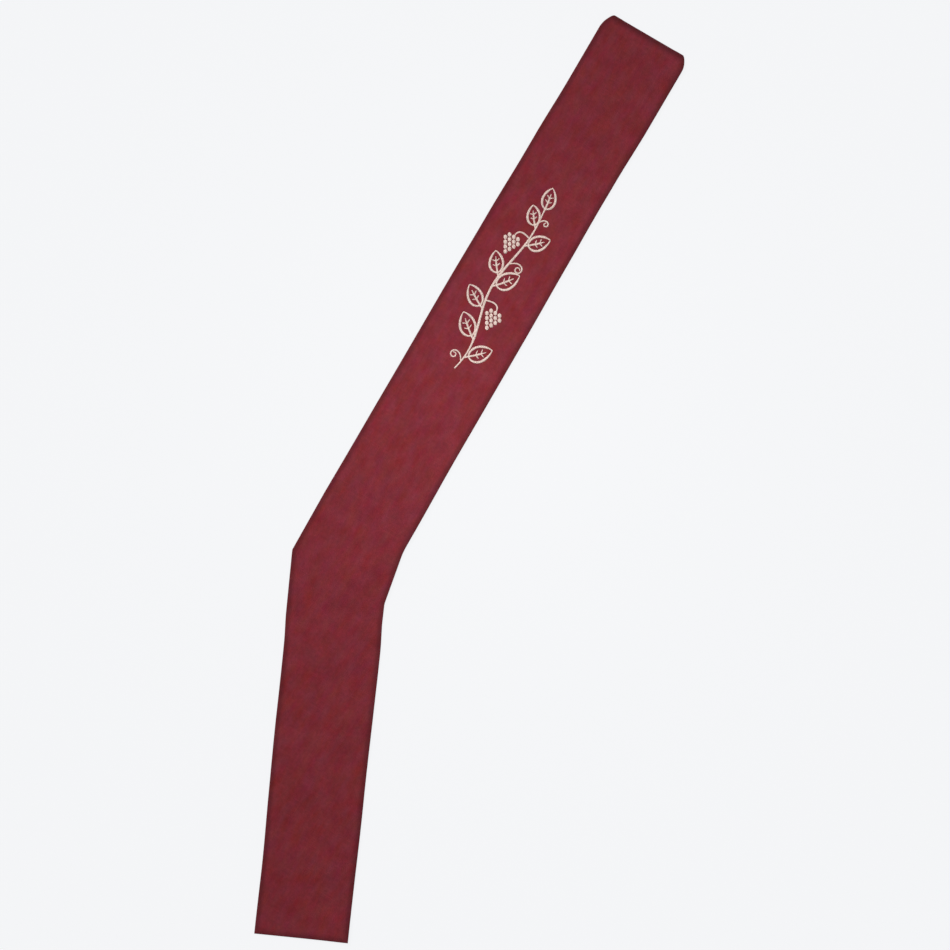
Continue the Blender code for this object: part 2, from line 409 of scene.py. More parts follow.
    def shift(self) -> np.ndarray:
        """Plan offset that puts the cut where the solids lie: from its own box's middle to theirs.

        Returns:
            The offset in X and Y.
        """
        along = np.linspace(0, self.length, self.outline_points)
        left, right = self.edges(along)
        across = unit(right - left)
        inset_left, inset_right = self.corner_insets(along)
        outline = np.concatenate([left + across * inset_left[:, None], right - across * inset_right[:, None]])
        low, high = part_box("front_band")
        return np.array([low.x + high.x, low.y + high.y]) / 2 - (outline.min(0) + outline.max(0)) / 2


def add_node(
    tree: bpy.types.NodeTree, kind: str, inputs: dict | None = None, **settings: object
) -> bpy.types.Node:
    """Adds a node with its settings, values and links.

    Args:
        tree: the node tree.
        kind: the node's type, without "ShaderNode".
        inputs: socket name or number to a value, or to another node's output socket.
        settings: the node's own properties.

    Returns:
        The new node.
    """
    node = tree.nodes.new(f"ShaderNode{kind}")
    for name, value in settings.items():
        setattr(node, name, value)
    for key, value in (inputs or {}).items():
        if isinstance(value, bpy.types.NodeSocket):
            tree.links.new(value, node.inputs[key])
        else:
            node.inputs[key].default_value = value
    return node


def new_material(name: str) -> tuple[bpy.types.Material, bpy.types.NodeTree, bpy.types.Node]:
    """Makes a node material with a plain Principled shader.

    Args:
        name: the material's name.

    Returns:
        The material, its node tree and the shader.
    """
    material = bpy.data.materials.new(name)
    material.use_nodes = True
    return material, material.node_tree, material.node_tree.nodes["Principled BSDF"]


@dataclass(frozen=True)
class WovenWool:
    """Plain-woven wool and polyester vestment cloth, piece-dyed and steamed flat: matt, a little slubby.

    Its patterns' sizes are in millimetres, and its relief in metres. A depth is how far a tone goes each way
    from the plain red.
    """

    red: str = "7a252e"
    weave_pitch: float = 1.7
    yarn_wander: float = 0.9
    wander_size: float = 6.25
    yarn_crossing: float = 0.3
    # Painted shade in the weave's troughs and painted light on its crowns, as shares of the plain colour.
    weave_painted_shade_and_light: tuple[float, float] = (0.94, 1.04)
    slub_length: float = 46.0
    slub_breadth: float = 1.5
    slub_peaks: tuple[float, float] = (0.56, 0.78)
    slub_tone: float = 1.10
    slub_relief: float = 0.7
    cloud_size: float = 21.0
    cloud_depth: float = 0.24
    fleck_size: float = 4.6
    fleck_depth: float = 0.20
    cast_size: float = 11.0
    cast_draw: float = 0.45
    hue_depth: float = 0.014
    saturation_depth: float = 0.07
    edge_shade: float = 0.52
    roughness: tuple[float, float] = (0.80, 0.94)
    gloss: float = 0.22
    nap: float = 0.12
    nap_roughness: float = 0.55
    nap_tint: str = "c4848a"
    bump: float = 0.7
    relief: float = 0.22 * MM

    def make(self, name: str, grain: float) -> bpy.types.Material:
        """Makes the cloth's material.

        Args:
            name: the material's name.
            grain: turn of the grain about Z that brings the diagonal upright, in radians.

        Returns:
            The material. Its warp runs along the diagonal. The yarns are really 0.5 mm apart, and are drawn
            1.7 mm apart so that the render holds them.
        """
        material, tree, shader = new_material(name)
        place = add_node(tree, "TexCoord").outputs["Object"]
        turned = {"Vector": place, "Rotation": (0, 0, grain), "Scale": (1 / MM,) * 3}
        cloth = add_node(tree, "Mapping", turned).outputs["Vector"]
        weave = self.weave(tree, cloth)
        slubs = [self.slubs(tree, cloth, lengthwise) for lengthwise in (True, False)]
        slub = add_node(tree, "Math", {0: slubs[0], 1: slubs[1]}, operation="MAXIMUM").outputs[0]
        tree.links.new(self.dye(tree, cloth, weave, slub), shader.inputs["Base Color"])
        low, high = self.roughness
        dull = add_node(tree, "MapRange", {"Value": weave, "To Min": high, "To Max": low})
        tree.links.new(dull.outputs[0], shader.inputs["Roughness"])
        raised = add_node(tree, "Math", {0: slub, 1: self.slub_relief, 2: weave}, operation="MULTIPLY_ADD")
        bump_inputs = {"Height": raised.outputs[0], "Strength": self.bump, "Distance": self.relief}
        bump = add_node(tree, "Bump", bump_inputs)
        tree.links.new(bump.outputs[0], shader.inputs["Normal"])
        shader.inputs["Specular IOR Level"].default_value = self.gloss
        shader.inputs["Sheen Weight"].default_value = self.nap
        shader.inputs["Sheen Roughness"].default_value = self.nap_roughness
        shader.inputs["Sheen Tint"].default_value = linear(self.nap_tint)
        return material

    def weave(self, tree: bpy.types.NodeTree, cloth: bpy.types.NodeSocket) -> bpy.types.NodeSocket:
        """Height of the plain weave: warp and weft are rounded yarns, each on top in every other square.

        A yarn's height is the size of a sine across it, and the sign of both sines' product tells which is on
        top. The yarns wander a little.

        Args:
            tree: the node tree.
            cloth: the place on the cloth in millimetres.

        Returns:
            The height, 0 to 1.
        """
        noise = {"Vector": cloth, "Scale": 1 / self.wander_size, "Detail": 2.0}
        wander = add_node(tree, "TexNoise", noise).outputs["Color"]
        nudge = add_node(tree, "VectorMath", {0: wander, 1: (self.yarn_wander,) * 3}, operation="MULTIPLY")
        yarns = add_node(tree, "VectorMath", {0: cloth, 1: nudge.outputs[0]}, operation="ADD")
        axes = add_node(tree, "SeparateXYZ", {"Vector": yarns.outputs[0]})
        waves = []
        for axis in ("X", "Y"):
            turn = {0: axes.outputs[axis], 1: np.pi / self.weave_pitch}
            phase = add_node(tree, "Math", turn, operation="MULTIPLY")
            waves.append(add_node(tree, "Math", {0: phase.outputs[0]}, operation="SINE").outputs[0])
        rounds = [add_node(tree, "Math", {0: wave}, operation="ABSOLUTE").outputs[0] for wave in waves]
        crossing = add_node(tree, "Math", {0: waves[0], 1: waves[1]}, operation="MULTIPLY")
        blend = {"From Min": -self.yarn_crossing, "From Max": self.yarn_crossing}
        over = add_node(tree, "MapRange", {"Value": crossing.outputs[0], **blend}).outputs[0]
        return add_node(tree, "Mix", {"Factor": over, "A": rounds[1], "B": rounds[0]}).outputs[0]

    def slubs(
        self, tree: bpy.types.NodeTree, cloth: bpy.types.NodeSocket, lengthwise: bool
    ) -> bpy.types.NodeSocket:
        """Thick places in the yarn: noise drawn out along the yarn, and cut off below its peaks.

        Args:
            tree: the node tree.
            cloth: the place on the cloth in millimetres.
            lengthwise: along the warp if true, and otherwise along the weft.

        Returns:
            A value from 0, plain yarn, to 1, a slub.
        """
        sizes = (self.slub_breadth, self.slub_length) if lengthwise else (self.slub_length, self.slub_breadth)
        stretch = (1 / sizes[0], 1 / sizes[1], 1.0)
        drawn = add_node(tree, "VectorMath", {0: cloth, 1: stretch}, operation="MULTIPLY")
        noise = add_node(tree, "TexNoise", {"Vector": drawn.outputs[0], "Scale": 1.0, "Detail": 1.0})
        low, high = self.slub_peaks
        peaks = {"Value": noise.outputs["Fac"], "From Min": low, "From Max": high}
        return add_node(tree, "MapRange", peaks).outputs[0]

    def dye(
        self,
        tree: bpy.types.NodeTree,
        cloth: bpy.types.NodeSocket,
        weave: bpy.types.NodeSocket,
        slub: bpy.types.NodeSocket,
    ) -> bpy.types.NodeSocket:
        """The cloth's colour: its red uneven in depth, hue and strength, and lighter on slubs. Painted shade
        darkens the weave's troughs, whose crowns are painted a little lighter, and the cloth near its sides,
        hem and fold.

        Args:
            tree: the node tree.
            cloth: the place on the cloth in millimetres.
            weave: the weave's height.
            slub: the slubs' value.

        Returns:
            The colour.
        """
        clouds = add_node(tree, "TexNoise", {"Vector": cloth, "Scale": 1 / self.cloud_size, "Detail": 3.0})
        flecks = add_node(tree, "TexNoise", {"Vector": cloth, "Scale": 1 / self.fleck_size, "Detail": 2.0})
        # The "edge" attribute is painted shade: how much the cloth is darkened near its sides, hem and fold,
        # where it rolls away from the light.
        edge = add_node(tree, "Attribute", attribute_name="edge").outputs["Fac"]
        value = None
        for source, low, high in (
            (clouds.outputs["Fac"], 1 - self.cloud_depth, 1 + self.cloud_depth),
            (flecks.outputs["Fac"], 1 - self.fleck_depth, 1 + self.fleck_depth),
            # Painted shade and light on the weave: darker in its troughs, a little lighter on its crowns.
            (weave, *self.weave_painted_shade_and_light),
            (slub, 1.0, self.slub_tone),
            # Painted shade near the sides, hem and fold, from the "edge" attribute.
            (edge, 1.0, 1 - self.edge_shade),
        ):
            tone = add_node(tree, "MapRange", {"Value": source, "To Min": low, "To Max": high}).outputs[0]
            if value is not None:
                tone = add_node(tree, "Math", {0: value, 1: tone}, operation="MULTIPLY").outputs[0]
            value = tone
        drawn = add_node(tree, "VectorMath", {0: cloth, 1: (1.0, self.cast_draw, 1.0)}, operation="MULTIPLY")
        noise = {"Vector": drawn.outputs[0], "Scale": 1 / self.cast_size, "Detail": 2.0}
        cast = add_node(tree, "SeparateXYZ", {"Vector": add_node(tree, "TexNoise", noise).outputs["Color"]})
        hues = {"Value": cast.outputs["X"], "To Min": 0.5 - self.hue_depth, "To Max": 0.5 + self.hue_depth}
        strengths = {
            "Value": cast.outputs["Y"],
            "To Min": 1 + self.saturation_depth,
            "To Max": 1 - self.saturation_depth,
        }
        hue = add_node(tree, "MapRange", hues).outputs[0]
        strength = add_node(tree, "MapRange", strengths).outputs[0]
        # Its value carries the painted shade of the weave, the sides, the hem and the fold.
        dyed = {"Color": linear(self.red), "Hue": hue, "Saturation": strength, "Value": value}
        return add_node(tree, "HueSaturation", dyed).outputs[0]


@dataclass(frozen=True)
class RayonFloss:
    """Ivory rayon machine-embroidery thread, twisted and lustrous: brighter along each thread's crest."""

    pale: str = "f4e2d7"
    shaded: str = "dfc3b8"
    roughness: float = 0.42
    ply_pitch: float = 0.9 * MM
    ply_relief: float = 0.06 * MM
    ply_unevenness: float = 1.2
    bump: float = 0.6
    sheen: float = 0.15

    def make(self, name: str) -> bpy.types.Material:
        """Makes the thread's material, whose tone follows the thread's own attribute.

        Args:
            name: the material's name.

        Returns:
            The material. The twist shows as fine bands, drawn 0.9 mm apart for a real 0.3 mm. At a scale of 1
            the wave has a band for each 2 pi / 10 of x + y + z, and that sum grows root two times as fast as
            the way along a diagonal in plan.
        """
        material, tree, shader = new_material(name)
        place = add_node(tree, "TexCoord").outputs["Object"]
        tone = add_node(tree, "Attribute", attribute_name="tone").outputs["Fac"]
        shades = {"Factor": tone, "A": linear(self.shaded), "B": linear(self.pale)}
        colour = add_node(tree, "Mix", shades, data_type="RGBA")
        tree.links.new(colour.outputs["Result"], shader.inputs["Base Color"])
        scale = 2 * np.pi / (10 * 2 ** 0.5 * self.ply_pitch)
        twist = {"Vector": place, "Scale": scale, "Distortion": self.ply_unevenness}
        ply = add_node(tree, "TexWave", twist, bands_direction="DIAGONAL")
        ply_bump = {"Height": ply.outputs["Fac"], "Strength": self.bump, "Distance": self.ply_relief}
        bump = add_node(tree, "Bump", ply_bump)
        tree.links.new(bump.outputs[0], shader.inputs["Normal"])
        shader.inputs["Roughness"].default_value = self.roughness
        shader.inputs["Sheen Weight"].default_value = self.sheen
        return material


@dataclass(frozen=True)
class ClothBand:
    """One band of made-up cloth: a thin closed shell on its solid's form.

    Heights and radii are those of the solids, to the middle of the wall. The wall is a little thinner than
    the solid's, which leaves room for creases, and they go no lower than the deepest, which keeps the bands
    apart. A pair named as unevenness holds its height and its pitch, spans hold the first and last row of a
    stretch and the step between its rows, and a lip is the share of the wall that is left at an end.
    """

    cut: StoleCut
    side: Side
    middle: float
    fold_centre: float
    columns: np.ndarray
    spans: tuple[tuple[float, float, float], ...]
    inset: float = 0.0
    hem_short: float = 0.0
    wall: float = 1.6 * MM
    solid_wall: float = 1.8 * MM
    fold_radius: float = 2.0 * MM
    fold_rise: float = 45 * MM
    fold_rows: int = 14
    edge_roll: float = 2.6 * MM
    roll_power: float = 2.3
    lip_roll: float = 0.7 * MM
    lip: float = 0.30
    hem_lip: float = 0.05
    hem_rows: tuple[float, ...] = (1, 0.8, 0.6, 0.42, 0.27, 0.15, 0.06, 0.015, 0)
    turning: float = 12 * MM
    turning_slope: float = 3.0 * MM
    hem_turning: float = 30 * MM
    hem_slope: float = 3.5 * MM
    turning_height: float = 0.20 * MM
    turning_unevenness: tuple[float, float] = (0.8 * MM, 70 * MM)
    seam_gap: float = 0.06 * MM
    seam_height: float = 3.05 * MM
    # Painted shade near the edges: its reach from the sides and hem, its reach from the fold, and its share at
    # the sides.
    painted_shade_edge_reach: float = 6.6 * MM
    painted_shade_fold_reach: float = 8.0 * MM
    painted_shade_side_share: float = 0.72
    front_unevenness: tuple[tuple[float, float], ...] = ((0.16 * MM, 55 * MM), (0.05 * MM, 15 * MM))
    back_unevenness: tuple[float, float] = (0.05 * MM, 60 * MM)
    deepest: float = 0.36 * MM
    creases: tuple[Crease, ...] = ()

    @property
    def hem(self) -> float:
        """Length of this band along its middle."""
        return self.cut.length - self.hem_short

    def roll(self, distance: np.ndarray, reach: float) -> np.ndarray:
        """Share of the wall's thickness at a distance from an edge: a superellipse, full at its reach."""
        inside = np.clip(distance / reach, 0, 1)
        return (1 - (1 - inside) ** self.roll_power) ** (1 / self.roll_power)

    def relief(self, along: np.ndarray, across: np.ndarray) -> np.ndarray:
        """Height of the cloth over its flat lie: swells, creases and a slow unevenness, level at the fold.

        Args:
            along: places along the middle.
            across: places across the band.

        Returns:
            The height at each place.
        """
        fade = np.clip(along / self.fold_rise, 0, 1)
        if self.side is Side.BACK:
            height, pitch = self.back_unevenness
            return fade * height * (1 + ripples(along, across, pitch, SEED + 3))
        creased = sum(crease.height(along, across) for crease in self.creases)
        for seed, (height, pitch) in enumerate(self.front_unevenness, SEED):
            creased = creased + height * ripples(along, across, pitch, seed)
        swelled = self.cut.swell_height(along, across)
        return fade * (swelled + np.maximum(creased, -self.deepest))

    def rows(self) -> dict[str, np.ndarray]:
        """The shell's rows: each one's place along, height, tilt round the fold, and share of the wall.

        The fold is a quarter circle from the seam up to the flat of the band. The last rows close in on the
        hem's edge, where the wall rolls down to nothing.

        Returns:
            The rows' "along", "height", "tilt" and "share", one value for each row.
        """
        reach = self.fold_radius + self.solid_wall / 2
        way = self.side.value
        to_seam = way * (self.fold_centre - self.seam_height) - self.seam_gap / 2
        start = -np.arcsin(to_seam / self.fold_radius)
        tilt = np.linspace(start, np.pi / 2, self.fold_rows)
        round_fold = reach - self.fold_radius * np.cos(tilt)
        spans = [np.arange(low, high, step) for low, high, step in self.spans]
        near_hem = self.hem - self.edge_roll * np.array(self.hem_rows)
        flat = np.concatenate([*spans, near_hem])
        along = np.concatenate([round_fold, flat])
        fold_height = self.fold_centre + way * self.fold_radius
        settled = ease((flat - reach) / self.fold_rise)
        heights = np.concatenate([
            self.fold_centre + way * self.fold_radius * np.sin(tilt),
            fold_height + (self.middle - fold_height) * settled,
        ])
        lip = self.lip + (1 - self.lip) * self.roll(self.fold_radius * (tilt - start), self.lip_roll)
        end = self.hem_lip + (1 - self.hem_lip) * self.roll(self.hem - flat, self.edge_roll)
        tilts = np.concatenate([tilt, np.full(len(flat), np.pi / 2)])
        return {"along": along, "height": heights, "tilt": tilts, "share": np.concatenate([lip, end])}

    def plan(self, along: np.ndarray, across: np.ndarray, shift: np.ndarray) -> np.ndarray:
        """Places on the band in plan: the cut's middle, and across it square to the row.

        Args:
            along: places along the middle.
            across: places across the band.
            shift: the cut's offset to the solids.

        Returns:
            X and Y of each place, with the two as the last axis.
        """
        shape = along.shape
        left, right = self.cut.edges(along.ravel())
        places = (left + right) / 2 + unit(right - left) * across.reshape(-1, 1) + shift
        return places.reshape(*shape, 2)

    def top(self, along: np.ndarray, across: np.ndarray) -> np.ndarray:
        """Height of the outer face of the flat stretch, away from its turned edges."""
        return self.middle + self.wall / 2 + self.relief(along, across)

    def build(self, name: str, pucker: np.ndarray | None = None) -> bpy.types.Object:
        """Makes the shell: its outer face from left to right, and its inner face back, ring by ring.

        Each face is the middle of the wall moved along the row's own outward direction, by half the wall
        times the edge's roll, and the turned edges stand out a little under the outer face. Both faces move
        up and down together with the cloth's relief.

        Args:
            name: the piece's name.
            pucker: how far stitches draw the outer face down, one value for each row and column.

        Returns:
            The shell.
        """
        rows = self.rows()
        along, tilt = rows["along"], rows["tilt"]
        way = self.side.value
        left, right = self.cut.edges(np.maximum(along, 0))
        square = unit(right - left)
        from_end = along - self.solid_wall / 2 * np.cos(tilt)
        inset_left, inset_right = self.cut.corner_insets(from_end)
        left = left + square * (inset_left + self.inset)[:, None]
        right = right - square * (inset_right + self.inset)[:, None]
        width = np.linalg.norm(right - left, axis=1)
        reach = self.columns[None, :] * width[:, None]
        across = reach - width[:, None] / 2
        lengthwise = np.broadcast_to(along[:, None], reach.shape)
        to_edge = np.minimum(reach, width[:, None] - reach)
        share = np.minimum(self.roll(to_edge, self.edge_roll), rows["share"][:, None])
        amount, pitch = self.turning_unevenness
        wobble = amount * ripples(lengthwise, 0 * lengthwise, pitch, SEED + 2)
        turned = 1 - ease((to_edge - self.turning + wobble) / self.turning_slope)
        hemmed = 1 - ease((self.hem - lengthwise - self.hem_turning + wobble) / self.hem_slope)
        stands = self.turning_height * np.maximum(turned, hemmed) * share
        kept = 0.0 if self.side is Side.FRONT else self.turning_height
        outer = (self.wall / 2 - kept) * share + stands
        inner = -self.wall / 2 * share
        if pucker is not None:
            outer = outer - pucker
        relief = self.relief(lengthwise, across)
        lean = self.cut.diagonal_lean
        up_band = np.array([np.sin(lean), np.cos(lean)])
        shift = self.cut.shift()

        def face(offset: np.ndarray) -> np.ndarray:
            """Moves the middle of the wall along each row's outward direction.

            Args:
                offset: how far, at each row and column.

            Returns:
                The face's points, (rows, columns, 3).
            """
            flat = left[:, None, :] + square[:, None, :] * reach[..., None] + shift
            flat = flat + up_band * (np.cos(tilt)[:, None] * offset)[..., None]
            height = rows["height"][:, None] + way * np.sin(tilt)[:, None] * offset + relief
            return np.concatenate([flat, height[..., None]], -1)

        count = len(self.columns)
        rings = np.concatenate([face(outer), face(inner)[:, -2:0:-1]], 1)
        size = rings.shape[1]
        faces = [ring_faces(len(along), size), *self.end_caps(len(along), count)]
        shell = add_mesh(name, rings.reshape(-1, 3), faces)
        # Painted shade: the "edge" attribute darkens the cloth's colour near its sides and hem, and most near
        # the fold, where the cloth rolls away from the light.
        to_sides = np.maximum(np.minimum(to_edge, self.hem - lengthwise), 0)
        edge = self.painted_shade_side_share * np.exp(-(to_sides / self.painted_shade_edge_reach) ** 4)
        edge = np.maximum(edge, np.exp(-(from_end / self.painted_shade_fold_reach) ** 4)[:, None])
        set_attribute(shell, "edge", np.concatenate([edge, edge[:, -2:0:-1]], 1))
        return shell

    @staticmethod
    def end_caps(rows: int, count: int) -> list[np.ndarray]:
        """Faces that close the first and the last ring, between the same columns of its two faces.

        Args:
            rows: how many rings there are.
            count: how many columns each face has.

        Returns:
            The quads and the triangles of both ends.
        """
        size = 2 * count - 2
        outer = np.arange(count)
        inner = np.concatenate([[0], np.arange(size - 1, count - 1, -1), [count - 1]])
        strip = np.stack([outer[:-1], outer[1:], inner[1:], inner[:-1]], 1)
        last = (rows - 1) * size
        quads = np.concatenate([strip[1:-1], last + strip[1:-1, ::-1]])
        corners = np.array([strip[0, :3], strip[-1, [0, 1, 3]]])
        return [quads, np.concatenate([corners, last + corners[:, ::-1]])]

    def flat_area(self) -> float:
        """Area of the cut: its mean width times its length.

        Returns:
            The area in square metres.
        """
        along = np.linspace(0, self.hem, self.cut.outline_points // 2)
        left, right = self.cut.edges(along)
        return float(np.mean(np.linalg.norm(right - left, axis=1)) * self.hem)


@dataclass(frozen=True)
class Stroke:
    """A stitched line in the spray's own metres (up, right), with half its width at each point."""

    line: np.ndarray
    half_widths: np.ndarray

    def stations(self, pitch: float) -> tuple[np.ndarray, np.ndarray, np.ndarray]:
        """Evenly spaced places on the line.

        Args:
            pitch: the distance between them.

        Returns:
            The places, the line's direction there and half its width there.
        """
        steps = np.linalg.norm(np.diff(self.line, axis=0), axis=1)
        run = np.concatenate([[0], np.cumsum(steps)])
        at = np.arange(pitch / 2, run[-1], pitch)
        places = np.stack([np.interp(at, run, self.line[:, i]) for i in (0, 1)], 1)
        ways = unit(np.gradient(places, axis=0))
        return places, ways, np.interp(at, run, self.half_widths)


@dataclass(frozen=True)
class Leaf:
    """A leaf of the vine: where it leaves the stem, its side, length, half breadth, and degrees of turn."""

    at: float
    hand: Hand
    length: float
    half_breadth: float
    turn: float


@dataclass(frozen=True)
class Bunch:
    """A bunch of grapes: where its stalk leaves the stem, its side, and how far out and down it hangs."""

    at: float
    hand: Hand
    out: float
    down: float


@dataclass(frozen=True)
class Tendril:
    """A curling tendril: where it leaves the stem, its side, length, and turns of its curl."""

    at: float
    hand: Hand
    length: float
    turns: float


@dataclass(frozen=True)
class VineSpray:
    """A spray of vine in line stitch, growing up the front band between hip and shoulder.

    It is a plain traditional plant: a waving stem, pointed leaves in outline with a midrib, two bunches of
    grapes and three tendrils. Sizes are in metres, up the band and to its right from the spray's middle. A
    stalk, bow, rib, vein or knee is a share of its leaf, line width or bunch.
    """

    centre_along: float = 0.395
    centre_across: float = -0.003
    stem_foot: float = -0.141
    stem_top: float = 0.108
    sway: float = 0.010
    sway_waves: float = 1.3
    sway_start: float = 0.5
    sway_fade: float = 0.55
    leaf_powers: tuple[float, float] = (0.6, 0.85)
    leaf_stalk: float = 0.16
    leaf_bow: float = 0.10
    rib_length: float = 0.74
    rib_width: float = 0.8
    vein_places: tuple[float, ...] = (0.30, 0.52)
    vein_reach: float = 0.55
    vein_rise: float = 0.18
    stalk_width: float = 0.7
    stalk_knee: tuple[float, float] = (1.2, 0.95)
    tendril_width: float = 0.62
    tendril_turn: float = 38.0
    taper: tuple[float, float] = (0.25, 0.3)
    line_half_width: float = 1.65 * MM
    vein_half_width: float = 0.75 * MM
    grape_radius: float = 2.9 * MM
    grape_pitch: float = 6.7 * MM
    grape_rows: tuple[int, ...] = (3, 4, 3, 2, 1)
    grape_drop: tuple[float, float] = (0.40, 0.87)
    leaves: tuple[Leaf, ...] = (
        Leaf(0.08, Hand.RIGHT, 0.040, 0.0105, 47),
        Leaf(0.19, Hand.LEFT, 0.041, 0.0108, 46),
        Leaf(0.365, Hand.LEFT, 0.038, 0.0100, 51),
        Leaf(0.50, Hand.RIGHT, 0.041, 0.0108, 45),
        Leaf(0.565, Hand.LEFT, 0.036, 0.0095, 48),
        Leaf(0.785, Hand.RIGHT, 0.037, 0.0098, 46),
        Leaf(0.90, Hand.LEFT, 0.033, 0.0088, 40),
        Leaf(1.00, Hand.RIGHT, 0.036, 0.0092, 4),
    )
    bunches: tuple[Bunch, ...] = (
        Bunch(0.415, Hand.RIGHT, 0.021, 0.006),
        Bunch(0.835, Hand.LEFT, 0.020, 0.006),
    )
    tendrils: tuple[Tendril, ...] = (
        Tendril(0.05, Hand.LEFT, 0.046, 1.30),
        Tendril(0.655, Hand.RIGHT, 0.050, 1.35),
        Tendril(0.94, Hand.RIGHT, 0.030, 1.15),
    )

    def stem(self, share: np.ndarray) -> np.ndarray:
        """Places on the stem, which sways as a sine that dies away towards the tip.

        Args:
            share: shares of the stem's height.

        Returns:
            The places, (n, 2).
        """
        up = self.stem_foot + (self.stem_top - self.stem_foot) * share
        wave = np.sin(2 * np.pi * self.sway_waves * share + self.sway_start)
        return np.stack([up, self.sway * wave * (1 - self.sway_fade * share)], -1)

    def sprig(self, at: float, hand: Hand, turn: float) -> tuple[np.ndarray, np.ndarray, np.ndarray]:
        """Where a sprig leaves the stem.

        Args:
            at: share of the stem's length.
            hand: the side that it grows on.
            turn: degrees from the stem's own direction.

        Returns:
            The place, the sprig's direction, and the direction square to it on the outer side.
        """
        base, ahead = self.stem(np.array([at, at + 0.01]))
        way = unit(ahead - base)
        angle = np.radians(turn) * hand.value
        cos, sin = np.cos(angle), np.sin(angle)
        turned = np.array([way[0] * cos - way[1] * sin, way[0] * sin + way[1] * cos])
        return base, turned, np.array([-turned[1], turned[0]]) * hand.value

    def tapered(self, line: np.ndarray, half_width: float, start: float = 0.5, end: float = 0.35) -> Stroke:
        """A line whose width eases in from its start and out to its end.

        Args:
            line: the line's places, (n, 2).
            half_width: the full half width.
            start: share of it at the line's start.
            end: share of it at the line's end.

        Returns:
            The stroke.
        """
        share = np.linspace(0, 1, len(line))
        first, last = self.taper
        scale = (start + (1 - start) * ease(share / first)) * (end + (1 - end) * ease((1 - share) / last))
        return Stroke(line, half_width * scale)

    def blade_breadth(self, leaf: Leaf, share: np.ndarray | float) -> np.ndarray | float:
        """Half breadth of a leaf's blade at shares of its length.

        At a share q it is q to the first of leaf_powers times (1 - q) to the second, over the greatest value
        of that product, which lies at first / (first + second). So the blade is round at the stalk and
        pointed at the tip.

        Args:
            leaf: the leaf.
            share: shares of the blade's length, 0 at the stalk and 1 at the tip.

        Returns:
            The half breadth at each share.
        """
        first, second = self.leaf_powers
        widest = first / (first + second)
        full = widest ** first * (1 - widest) ** second
        return leaf.half_breadth * share ** first * (1 - share) ** second / full

    def leaf_strokes(self, leaf: Leaf) -> list[Stroke]:
        """Outline, midrib and veins of a leaf, which all bow towards the stem's tip.

        Args:
            leaf: the leaf.

        Returns:
            Two strokes for the outline, one for the midrib, and one for each vein.
        """
        base, way, out = self.sprig(leaf.at, leaf.hand, leaf.turn)
        stalk = self.leaf_stalk * leaf.length
        blade = leaf.length - stalk

        def at(length: np.ndarray, aside: np.ndarray) -> np.ndarray:
            """Places on the leaf, whose middle bows as a square of the length.

            Args:
                length: lengths along the leaf.
                aside: distances aside of its bowed middle.

            Returns:
                The places, (n, 2).
            """
            bow = -self.leaf_bow * leaf.length * (length / leaf.length) ** 2
            return base + way * length[:, None] + out * (aside + bow)[:, None]

        share = np.linspace(0, 1, 60)
        breadth = self.blade_breadth(leaf, share)
        sides = [at(stalk + blade * share, sign * breadth) for sign in (-1, 1)]
        strokes = [self.tapered(side, self.line_half_width, 0.7, 0.5) for side in sides]
        rib = np.linspace(0, stalk + self.rib_length * blade, 40)
        strokes.append(self.tapered(at(rib, 0 * rib), self.rib_width * self.line_half_width, 0.9, 0.4))
        reach = np.linspace(0, self.vein_reach, 12)
        for place in self.vein_places:
            length = stalk + blade * (place + self.vein_rise * reach)
            for sign in (-1, 1):
                vein = at(length, sign * reach * self.blade_breadth(leaf, place))
                strokes.append(self.tapered(vein, self.vein_half_width, 0.9, 0.6))
        return strokes

    def bunch_strokes(self, bunch: Bunch) -> tuple[list[Stroke], list[Stroke]]:
        """A bunch's stalk, and its grapes, each a filled round: half its width is a circle's chord.

        Args:
            bunch: the bunch.

        Returns:
            The stalk's strokes and the grapes' strokes.
        """
        base = self.stem(np.array([bunch.at]))[0]
        top = base + np.array([-bunch.down, bunch.hand.value * bunch.out])
        rise, out = self.stalk_knee
        knee = base + np.array([rise * bunch.down, out * bunch.hand.value * bunch.out])
        share = np.linspace(0, 1, 24)[:, None]
        stalk = (1 - share) ** 2 * base + 2 * share * (1 - share) * knee + share ** 2 * top
        grapes = []
        first, step = self.grape_drop
        for row, count in enumerate(self.grape_rows):
            up = top[0] - (first + step * row) * self.grape_pitch
            for i in range(count):
                right = top[1] + (i - (count - 1) / 2) * self.grape_pitch
                reach = self.grape_radius * np.linspace(-1, 1, 25)
                line = np.stack([up + reach, np.full_like(reach, right)], 1)
                grapes.append(Stroke(line, np.sqrt(np.maximum(self.grape_radius ** 2 - reach ** 2, 1e-9))))
        return [self.tapered(stalk, self.stalk_width * self.line_half_width, 0.9, 0.8)], grapes

    def tendril_stroke(self, tendril: Tendril) -> Stroke:
        """A tendril, whose curve tightens with the square of its length: a running sum of its direction.

        Args:
            tendril: the tendril.

        Returns:
            Its stroke.
        """
        base, way, _ = self.sprig(tendril.at, tendril.hand, self.tendril_turn)
        share = np.linspace(0, 1, 90)
        turn = np.arctan2(way[1], way[0]) + tendril.hand.value * 2 * np.pi * tendril.turns * share ** 2
        steps = np.stack([np.cos(turn), np.sin(turn)], 1) * tendril.length / len(share)
        width = self.tendril_width * self.line_half_width
        return self.tapered(base + np.cumsum(steps, axis=0), width, 0.9, 0.7)

